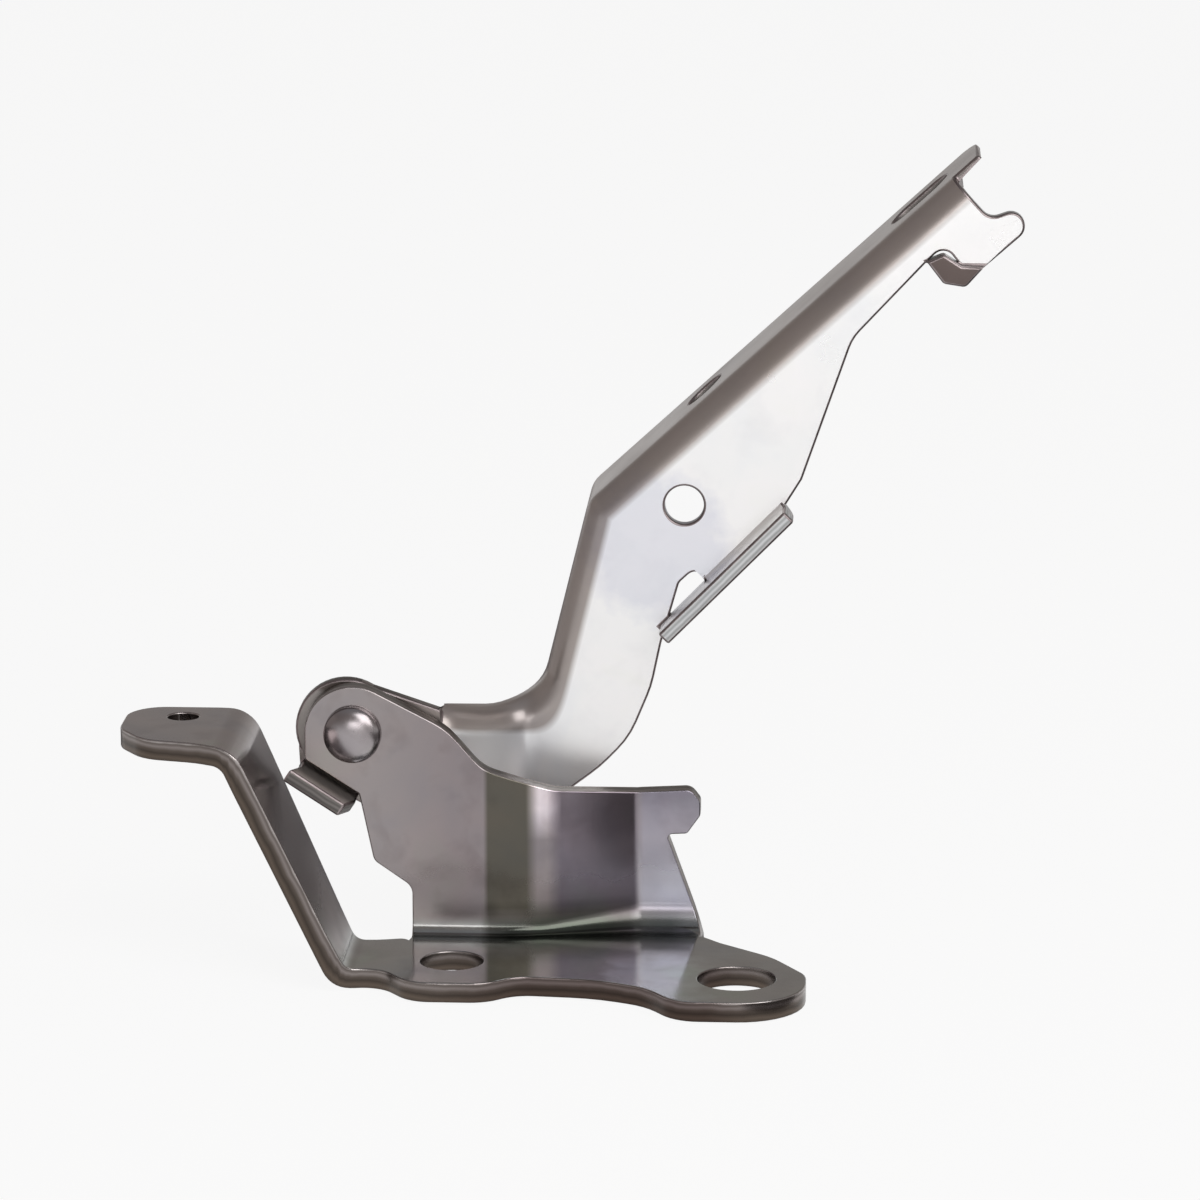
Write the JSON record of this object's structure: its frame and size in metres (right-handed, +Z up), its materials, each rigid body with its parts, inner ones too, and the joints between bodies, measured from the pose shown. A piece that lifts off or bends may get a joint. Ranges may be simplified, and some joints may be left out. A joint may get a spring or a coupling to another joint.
{
  "type": "bonnet hinge",
  "caption": "Zinc-plated pressed-steel bonnet hinge: a joggled arm with a bolting flange turns on a domed rivet in an eared body bracket with a strap and a foot.",
  "frame": {"origin": "centre of the front body hole on the underside of the foot", "axes": "+X toward the front of the vehicle along the foot, +Y from the foot toward the arm side, +Z up out of the foot"},
  "size_m": [0.1853, 0.0899, 0.166],
  "materials": {
    "bracket_zinc": "bright zinc plate, slightly bluish, with handling smudges",
    "arm_zinc": "bright zinc plate",
    "rivet_zinc": "zinc plate, satin",
    "bush_bronze": "plain bearing bronze",
    "washer_polymer": "moulded, matt",
    "washer_zinc": "zinc plate"
  },
  "bodies": {
    "bracket": {"body_bracket": "bracket_zinc", "pivot_rivet": "rivet_zinc", "friction_washer": "washer_polymer", "tail_washer": "washer_zinc"},
    "arm": {"hinge_arm": "arm_zinc", "pivot_bush": "bush_bronze"}
  },
  "joints": [
    {"name": "arm_pivot", "type": "hinge", "parent": "bracket", "child": "arm", "pos_m": [-0.081, 0.034, 0.04725], "axis": [0, 1, 0], "range_deg": [0, 45]}
  ]
}
